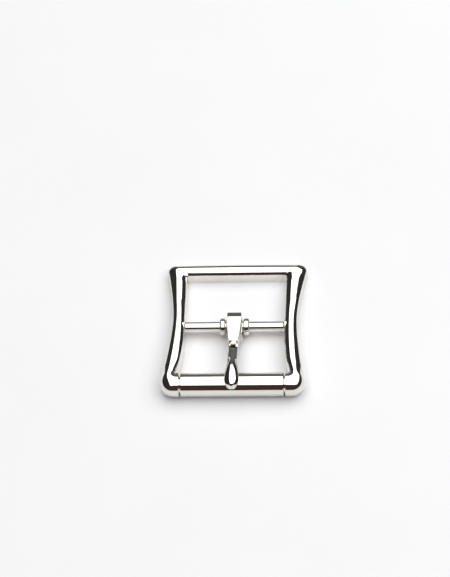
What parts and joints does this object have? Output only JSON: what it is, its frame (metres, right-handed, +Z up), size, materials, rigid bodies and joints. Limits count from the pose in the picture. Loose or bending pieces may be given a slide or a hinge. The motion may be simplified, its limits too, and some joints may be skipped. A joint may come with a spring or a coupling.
{
  "type": "belt buckle",
  "caption": "Waisted rectangular centre-bar belt buckle with a front roller and a locking tongue between two stop collars, polished nickel.",
  "frame": {"origin": "on the plane of the buckle's flat back, under the middle of the whole buckle", "axes": "+X across the belt, +Y along the belt from the roller towards the top bar, +Z up out of the flat back"},
  "size_m": [0.0452, 0.0508, 0.0094],
  "materials": {
    "frame_nickel": "zinc casting, polished and bright nickel plated",
    "roller_nickel": "rolled steel strip, bright nickel plated",
    "tongue_nickel": "zinc casting, polished and bright nickel plated"
  },
  "bodies": {
    "frame": {"frame": "frame_nickel"},
    "roller": {"roller": "roller_nickel"},
    "tongue": {"tongue": "tongue_nickel"}
  },
  "joints": [
    {"name": "tongue_hinge", "type": "hinge", "parent": "frame", "child": "tongue", "pos_m": [0, 0.00067, 0.0033], "axis": [-1, 0, 0], "range_deg": [0, 156]},
    {"name": "roller_spin", "type": "hinge", "parent": "frame", "child": "roller", "pos_m": [0, -0.02163, 0.00375], "axis": [1, 0, 0], "continuous": true}
  ]
}
